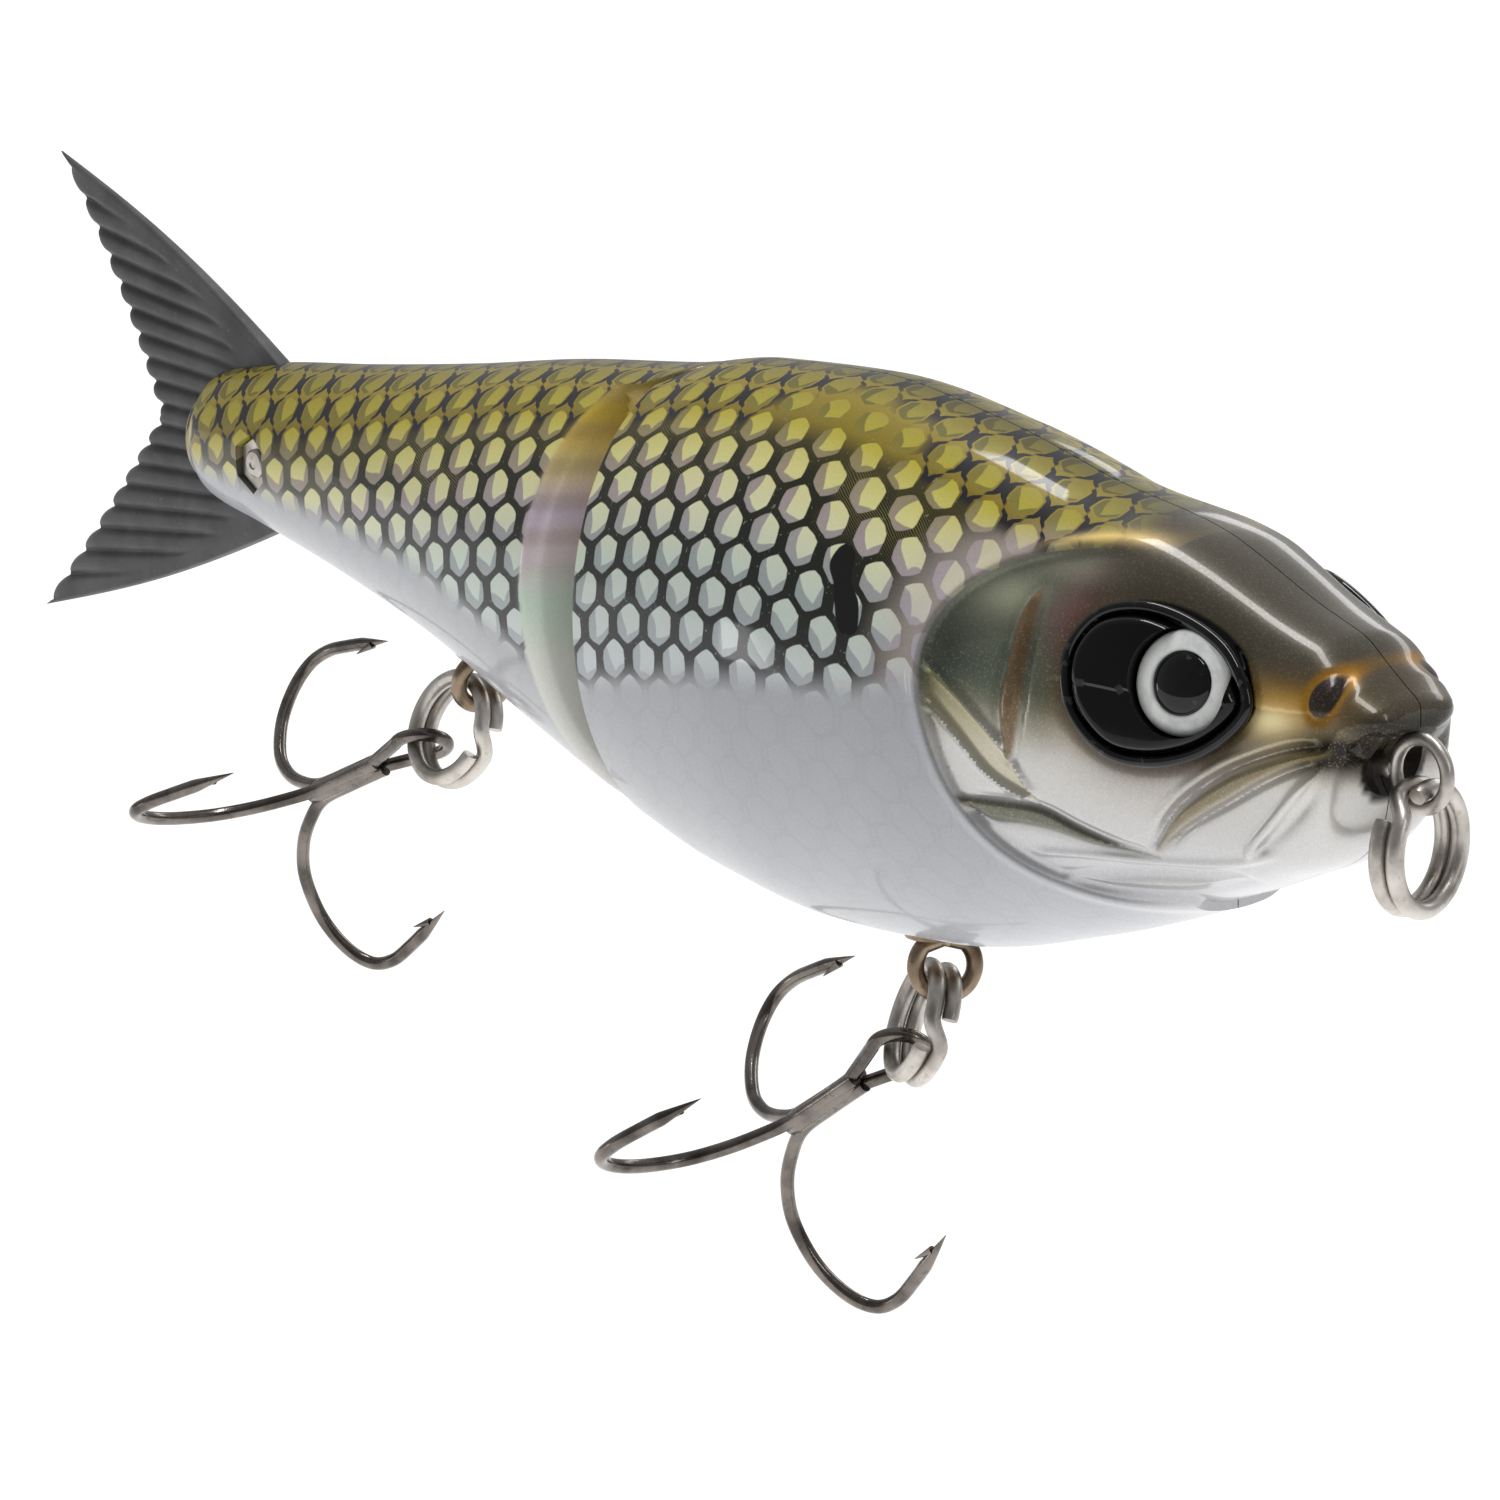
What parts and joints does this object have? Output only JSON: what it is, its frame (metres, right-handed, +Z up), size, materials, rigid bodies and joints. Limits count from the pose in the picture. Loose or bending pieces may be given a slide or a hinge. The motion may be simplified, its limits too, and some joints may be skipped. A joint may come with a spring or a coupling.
{
  "type": "swimbait",
  "caption": "Two-piece hard glide bait with a soft forked tail, vertical body hinge, swivel hook hangers, split rings and treble hooks.",
  "frame": {"origin": "centre of the line tie's wire loop, in the body's centre plane", "axes": "+X to the head along the lure's length, +Z up to the back, -Y to the fish's right flank"},
  "size_m": [0.1841, 0.0389, 0.0866],
  "materials": {
    "painted_shell": "printed scale pattern under clear gloss lacquer, olive back, pearl belly",
    "stainless": "satin stainless wire, lightly worn",
    "aged_nickel": "tarnished nickel plating",
    "black_nickel": "black nickel plating, glossy",
    "lead": "dull cast weight",
    "soft_rubber": "matte charcoal moulded rubber",
    "iris": "printed iris, pale ring round a dark pupil",
    "clear_lens": "clear domed resin"
  },
  "bodies": {
    "front_body": {"front_shell_right": "painted_shell", "front_shell_left": "painted_shell", "line_tie_eye": "stainless", "front_ballast": "lead", "belly_swivel_barrel": "aged_nickel", "eye_disc_right": "iris", "eye_disc_left": "iris", "eye_lens_right": "clear_lens", "eye_lens_left": "clear_lens", "hinge_eye_upper": "stainless", "hinge_eye_lower": "stainless"},
    "rear_body": {"rear_shell_right": "painted_shell", "rear_shell_left": "painted_shell", "hinge_pin": "stainless", "rear_ballast": "lead", "rear_swivel_barrel": "aged_nickel", "tail_fin": "soft_rubber", "tail_screw": "stainless", "tail_nut": "stainless"},
    "line_tie_ring": {"line_tie_split_ring": "stainless"},
    "belly_eye": {"belly_swivel_eye": "aged_nickel"},
    "belly_ring": {"belly_split_ring": "stainless"},
    "belly_hook": {"belly_treble_hook": "black_nickel"},
    "rear_eye": {"rear_swivel_eye": "aged_nickel"},
    "rear_ring": {"rear_split_ring": "stainless"},
    "rear_hook": {"rear_treble_hook": "black_nickel"}
  },
  "joints": [
    {"name": "body_hinge", "type": "hinge", "parent": "front_body", "child": "rear_body", "pos_m": [-0.0845, 0, 0], "axis": [0, 0, 1], "range_deg": [-25, 25]},
    {"name": "line_tie_ring_swing", "type": "hinge", "parent": "front_body", "child": "line_tie_ring", "pos_m": [0, 0, 0], "axis": [0, -1, 0], "range_deg": [-10, 105]},
    {"name": "belly_swivel", "type": "hinge", "parent": "front_body", "child": "belly_eye", "pos_m": [-0.05191, 0, -0.02243], "axis": [0.0659, 0, -0.9978], "continuous": true},
    {"name": "belly_ring_swing", "type": "hinge", "parent": "belly_eye", "child": "belly_ring", "pos_m": [-0.05201, -0.0008, -0.02717], "axis": [0.455, 0.8242, -0.3372], "range_deg": [-75, 10]},
    {"name": "belly_hook_swing", "type": "hinge", "parent": "belly_ring", "child": "belly_hook", "pos_m": [-0.05624, -0.00077, -0.03283], "axis": [-0.541, 0.5567, 0.6305], "range_deg": [-60, 40]},
    {"name": "rear_swivel", "type": "hinge", "parent": "rear_body", "child": "rear_eye", "pos_m": [-0.1115, 0, -0.00901], "axis": [-0.301, 0, -0.9536], "continuous": true},
    {"name": "rear_ring_swing", "type": "hinge", "parent": "rear_eye", "child": "rear_ring", "pos_m": [-0.11306, -0.00086, -0.01349], "axis": [0.0317, 0.9242, -0.3807], "range_deg": [-60, 10]},
    {"name": "rear_hook_swing", "type": "hinge", "parent": "rear_ring", "child": "rear_hook", "pos_m": [-0.11815, -0.00247, -0.01782], "axis": [-0.4692, 0.3501, 0.8108], "range_deg": [-60, 45]}
  ]
}
